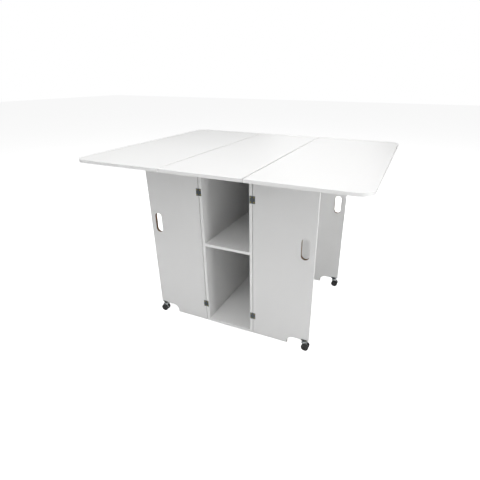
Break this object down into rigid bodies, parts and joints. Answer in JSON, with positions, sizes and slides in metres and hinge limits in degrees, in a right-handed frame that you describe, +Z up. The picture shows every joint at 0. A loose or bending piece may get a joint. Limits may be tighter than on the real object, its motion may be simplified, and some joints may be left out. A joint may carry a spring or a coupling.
{
  "type": "sewing table",
  "caption": "Drop-leaf sewing table: open cabinet with a shelf, fixed centre top, two hinged leaves on swing-out gates with casters.",
  "frame": {"origin": "on the floor under the middle of the top", "axes": "+X along the top to the right, +Y from the front to the back, +Z up; the front of the cabinet faces -Y"},
  "size_m": [1.4, 1.15, 0.945],
  "materials": {
    "white_melamine": "satin white melamine with white edge banding; the slots and notches show the brown core",
    "hinge_steel": "dark grey steel",
    "zinc_steel": "zinc-plated steel",
    "black_tyre": "black, slightly glossy",
    "glide_plastic": "pale plastic"
  },
  "bodies": {
    "cabinet": {"side_panel_left": "white_melamine", "side_panel_right": "white_melamine", "bottom_panel": "white_melamine", "back_panel": "white_melamine", "shelf": "white_melamine", "top_centre": "white_melamine", "glide_front_left": "glide_plastic", "glide_front_right": "glide_plastic", "glide_rear_left": "glide_plastic", "glide_rear_right": "glide_plastic", "leaf_hinge_fixed_front_left": "hinge_steel", "gate_hinge_fixed_upper_front_left": "hinge_steel", "gate_hinge_fixed_lower_front_left": "hinge_steel", "leaf_hinge_fixed_front_right": "hinge_steel", "gate_hinge_fixed_upper_front_right": "hinge_steel", "gate_hinge_fixed_lower_front_right": "hinge_steel", "leaf_hinge_fixed_rear_left": "hinge_steel", "gate_hinge_fixed_upper_rear_left": "hinge_steel", "gate_hinge_fixed_lower_rear_left": "hinge_steel", "leaf_hinge_fixed_rear_right": "hinge_steel", "gate_hinge_fixed_upper_rear_right": "hinge_steel", "gate_hinge_fixed_lower_rear_right": "hinge_steel"},
    "left_leaf": {"leaf_left": "white_melamine", "leaf_hinge_moving_front_left": "hinge_steel", "leaf_hinge_moving_rear_left": "hinge_steel"},
    "right_leaf": {"leaf_right": "white_melamine", "leaf_hinge_moving_front_right": "hinge_steel", "leaf_hinge_moving_rear_right": "hinge_steel"},
    "front_left_gate": {"gate_front_left": "white_melamine", "gate_hinge_moving_upper_front_left": "hinge_steel", "gate_hinge_moving_lower_front_left": "hinge_steel", "caster_bracket_front_left": "hinge_steel"},
    "front_left_caster": {"caster_body_front_left": "zinc_steel", "caster_axle_front_left": "zinc_steel"},
    "front_left_wheel_1": {"caster_wheel_1_front_left": "black_tyre"},
    "front_left_wheel_2": {"caster_wheel_2_front_left": "black_tyre"},
    "front_right_gate": {"gate_front_right": "white_melamine", "gate_hinge_moving_upper_front_right": "hinge_steel", "gate_hinge_moving_lower_front_right": "hinge_steel", "caster_bracket_front_right": "hinge_steel"},
    "front_right_caster": {"caster_body_front_right": "zinc_steel", "caster_axle_front_right": "zinc_steel"},
    "front_right_wheel_1": {"caster_wheel_1_front_right": "black_tyre"},
    "front_right_wheel_2": {"caster_wheel_2_front_right": "black_tyre"},
    "rear_left_gate": {"gate_rear_left": "white_melamine", "gate_hinge_moving_upper_rear_left": "hinge_steel", "gate_hinge_moving_lower_rear_left": "hinge_steel", "caster_bracket_rear_left": "hinge_steel"},
    "rear_left_caster": {"caster_body_rear_left": "zinc_steel", "caster_axle_rear_left": "zinc_steel"},
    "rear_left_wheel_1": {"caster_wheel_1_rear_left": "black_tyre"},
    "rear_left_wheel_2": {"caster_wheel_2_rear_left": "black_tyre"},
    "rear_right_gate": {"gate_rear_right": "white_melamine", "gate_hinge_moving_upper_rear_right": "hinge_steel", "gate_hinge_moving_lower_rear_right": "hinge_steel", "caster_bracket_rear_right": "hinge_steel"},
    "rear_right_caster": {"caster_body_rear_right": "zinc_steel", "caster_axle_rear_right": "zinc_steel"},
    "rear_right_wheel_1": {"caster_wheel_1_rear_right": "black_tyre"},
    "rear_right_wheel_2": {"caster_wheel_2_rear_right": "black_tyre"}
  },
  "joints": [
    {"name": "left_leaf_lift", "type": "hinge", "parent": "cabinet", "child": "left_leaf", "pos_m": [-0.2035, 0, 0.9262], "axis": [0, 1, 0], "range_deg": [0, 10]},
    {"name": "right_leaf_lift", "type": "hinge", "parent": "cabinet", "child": "right_leaf", "pos_m": [0.2035, 0, 0.9262], "axis": [0, -1, 0], "range_deg": [0, 10]},
    {"name": "front_left_gate_swing", "type": "hinge", "parent": "cabinet", "child": "front_left_gate", "pos_m": [-0.1473, -0.3357, 0.472], "axis": [0, 0, -1], "range_deg": [0, 85]},
    {"name": "front_right_gate_swing", "type": "hinge", "parent": "cabinet", "child": "front_right_gate", "pos_m": [0.1473, -0.3357, 0.472], "axis": [0, 0, 1], "range_deg": [0, 85]},
    {"name": "rear_left_gate_swing", "type": "hinge", "parent": "cabinet", "child": "rear_left_gate", "pos_m": [-0.1473, 0.3357, 0.472], "axis": [0, 0, 1], "range_deg": [0, 85]},
    {"name": "rear_right_gate_swing", "type": "hinge", "parent": "cabinet", "child": "rear_right_gate", "pos_m": [0.1473, 0.3357, 0.472], "axis": [0, 0, -1], "range_deg": [0, 85]},
    {"name": "front_left_caster_swivel", "type": "hinge", "parent": "front_left_gate", "child": "front_left_caster", "pos_m": [-0.436, -0.3465, 0.05], "axis": [0, 0, 1], "continuous": true},
    {"name": "front_left_wheel_1_spin", "type": "hinge", "parent": "front_left_caster", "child": "front_left_wheel_1", "pos_m": [-0.444, -0.3465, 0.02], "axis": [0, -1, 0], "continuous": true},
    {"name": "front_left_wheel_2_spin", "type": "hinge", "parent": "front_left_caster", "child": "front_left_wheel_2", "pos_m": [-0.444, -0.3465, 0.02], "axis": [0, -1, 0], "continuous": true},
    {"name": "front_right_caster_swivel", "type": "hinge", "parent": "front_right_gate", "child": "front_right_caster", "pos_m": [0.436, -0.3465, 0.05], "axis": [0, 0, 1], "continuous": true},
    {"name": "front_right_wheel_1_spin", "type": "hinge", "parent": "front_right_caster", "child": "front_right_wheel_1", "pos_m": [0.444, -0.3465, 0.02], "axis": [0, 1, 0], "continuous": true},
    {"name": "front_right_wheel_2_spin", "type": "hinge", "parent": "front_right_caster", "child": "front_right_wheel_2", "pos_m": [0.444, -0.3465, 0.02], "axis": [0, 1, 0], "continuous": true},
    {"name": "rear_left_caster_swivel", "type": "hinge", "parent": "rear_left_gate", "child": "rear_left_caster", "pos_m": [-0.436, 0.3465, 0.05], "axis": [0, 0, 1], "continuous": true},
    {"name": "rear_left_wheel_1_spin", "type": "hinge", "parent": "rear_left_caster", "child": "rear_left_wheel_1", "pos_m": [-0.444, 0.3465, 0.02], "axis": [0, -1, 0], "continuous": true},
    {"name": "rear_left_wheel_2_spin", "type": "hinge", "parent": "rear_left_caster", "child": "rear_left_wheel_2", "pos_m": [-0.444, 0.3465, 0.02], "axis": [0, -1, 0], "continuous": true},
    {"name": "rear_right_caster_swivel", "type": "hinge", "parent": "rear_right_gate", "child": "rear_right_caster", "pos_m": [0.436, 0.3465, 0.05], "axis": [0, 0, 1], "continuous": true},
    {"name": "rear_right_wheel_1_spin", "type": "hinge", "parent": "rear_right_caster", "child": "rear_right_wheel_1", "pos_m": [0.444, 0.3465, 0.02], "axis": [0, 1, 0], "continuous": true},
    {"name": "rear_right_wheel_2_spin", "type": "hinge", "parent": "rear_right_caster", "child": "rear_right_wheel_2", "pos_m": [0.444, 0.3465, 0.02], "axis": [0, 1, 0], "continuous": true}
  ]
}
